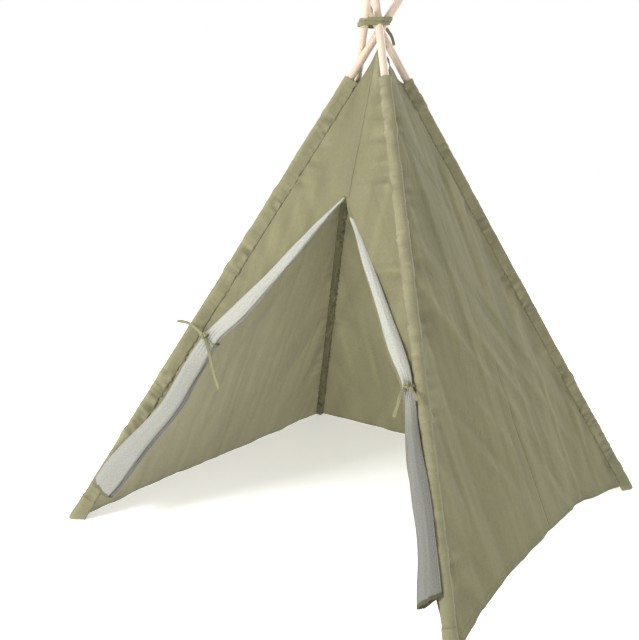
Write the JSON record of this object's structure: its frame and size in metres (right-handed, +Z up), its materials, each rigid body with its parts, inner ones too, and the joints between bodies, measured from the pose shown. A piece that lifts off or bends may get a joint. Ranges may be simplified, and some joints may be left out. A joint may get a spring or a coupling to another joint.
{
  "type": "teepee tent",
  "caption": "Children's teepee tent: crossed wooden poles in fabric sleeves, cotton walls and a lined door whose flaps are gathered and tied back.",
  "frame": {"origin": "centre of the base, on the floor", "axes": "+Z up; the door faces -Y; +X is to the right of someone who looks at the door from outside"},
  "size_m": [1.2338, 1.2338, 1.6043],
  "materials": {
    "cotton": "matt slubbed cotton weave, olive",
    "lining": "matt melange weave, light grey",
    "tape": "matt folded cotton tape, olive",
    "wood": "sanded pale pine",
    "ferrule": "satin"
  },
  "bodies": {
    "standing_corner": {"foot_pocket_back_left": "cotton"},
    "back_left_pole": {"pole_lower_back_left": "wood", "pole_upper_back_left": "wood", "pole_ferrule_back_left": "ferrule", "sleeve_back_left": "cotton", "wall_back_at_back_left": "cotton", "wall_left_at_back_left": "cotton"},
    "front_left_pole": {"pole_lower_front_left": "wood", "pole_upper_front_left": "wood", "pole_ferrule_front_left": "ferrule", "sleeve_front_left": "cotton", "wall_front_at_front_left": "cotton", "wall_left_at_front_left": "cotton", "foot_pocket_front_left": "cotton", "left_tie_tab": "tape"},
    "front_right_pole": {"pole_lower_front_right": "wood", "pole_upper_front_right": "wood", "pole_ferrule_front_right": "ferrule", "sleeve_front_right": "cotton", "wall_front_at_front_right": "cotton", "wall_right_at_front_right": "cotton", "foot_pocket_front_right": "cotton", "right_tie_tab": "tape"},
    "back_right_pole": {"pole_lower_back_right": "wood", "pole_upper_back_right": "wood", "pole_ferrule_back_right": "ferrule", "sleeve_back_right": "cotton", "wall_back_at_back_right": "cotton", "wall_right_at_back_right": "cotton", "foot_pocket_back_right": "cotton"},
    "apex_tie": {"apex_tie_knot": "tape", "apex_tie_tail_left": "tape", "apex_tie_tail_right": "tape", "apex_tie_wrap": "tape"},
    "door_top": {"door_placket": "cotton"},
    "left_flap_fold": {"left_flap_gather": "lining"},
    "left_flap": {"left_flap_edge": "lining", "left_tie_band": "tape", "left_tie_knot": "tape", "left_tie_tail_down": "tape", "left_tie_tail_up": "tape"},
    "right_flap_fold": {"right_flap_gather": "lining"},
    "right_flap": {"right_flap_edge": "lining", "right_tie_band": "tape", "right_tie_knot": "tape", "right_tie_tail_down": "tape", "right_tie_tail_side": "tape"}
  },
  "joints": [
    {"name": "fold", "type": "hinge", "parent": "standing_corner", "child": "back_left_pole", "pos_m": [-0.6, 0.6, 0], "axis": [-0.7475, -0.6643, 0], "range_deg": [0, 26], "deforming": ["foot_pocket_back_left", "wall_back_at_back_left", "wall_left_at_back_left"]},
    {"name": "fold_apex", "type": "hinge", "parent": "back_left_pole", "child": "apex_tie", "pos_m": [-0.03535, -0.03535, 1.383], "axis": [0.7475, 0.6643, 0], "range_deg": [0, 26]},
    {"name": "fold_front_left", "type": "hinge", "parent": "apex_tie", "child": "front_left_pole", "pos_m": [-0.00566, 0.0198, 1.383], "axis": [0.7218, -0.6921, 0], "range_deg": [0, 26], "deforming": ["wall_front_at_front_left", "wall_left_at_front_left"]},
    {"name": "fold_front_right", "type": "hinge", "parent": "apex_tie", "child": "front_right_pole", "pos_m": [-0.00848, -0.00848, 1.383], "axis": [0.697, 0.717, 0], "range_deg": [0, 26], "deforming": ["wall_front_at_front_right", "wall_right_at_front_right"]},
    {"name": "fold_back_right", "type": "hinge", "parent": "apex_tie", "child": "back_right_pole", "pos_m": [-0.03677, 0.02546, 1.383], "axis": [-0.6699, 0.7425, 0], "range_deg": [0, 26], "deforming": ["wall_back_at_back_right", "wall_right_at_back_right"]},
    {"name": "fold_door_top", "type": "hinge", "parent": "apex_tie", "child": "door_top", "pos_m": [-0.00707, 0.00566, 1.383], "axis": [1, 0, 0], "range_deg": [0, 19.7], "deforming": ["door_placket"]},
    {"name": "fold_left_flap", "type": "hinge", "parent": "door_top", "child": "left_flap_fold", "pos_m": [0.02626, -0.19404, 0.927], "axis": [0, -0.916, 0.4011], "range_deg": [0, 24.5], "deforming": ["left_flap_gather"]},
    {"name": "left_flap_close", "type": "hinge", "parent": "left_flap_fold", "child": "left_flap", "pos_m": [0.02626, -0.19404, 0.927], "axis": [0, -0.916, 0.4011], "range_deg": [0, 26], "deforming": ["left_flap_edge", "left_tie_tail_down", "left_tie_tail_up"]},
    {"name": "fold_right_flap", "type": "hinge", "parent": "door_top", "child": "right_flap_fold", "pos_m": [0.02626, -0.19404, 0.927], "axis": [0, 0.916, -0.4011], "range_deg": [0, 25.6], "deforming": ["right_flap_gather"]},
    {"name": "right_flap_close", "type": "hinge", "parent": "right_flap_fold", "child": "right_flap", "pos_m": [0.02626, -0.19404, 0.927], "axis": [0, 0.916, -0.4011], "range_deg": [0, 25], "deforming": ["right_flap_edge", "right_tie_tail_down", "right_tie_tail_side"]}
  ],
  "couplings": [
    {"joint": "fold_apex", "follows": "fold", "ratio": 1},
    {"joint": "fold_front_left", "follows": "fold", "ratio": 1},
    {"joint": "fold_front_right", "follows": "fold", "ratio": 1},
    {"joint": "fold_back_right", "follows": "fold", "ratio": 1},
    {"joint": "fold_door_top", "follows": "fold", "ratio": 0.75417},
    {"joint": "fold_left_flap", "follows": "fold", "ratio": 0.93875},
    {"joint": "fold_right_flap", "follows": "fold", "ratio": 0.98219}
  ]
}
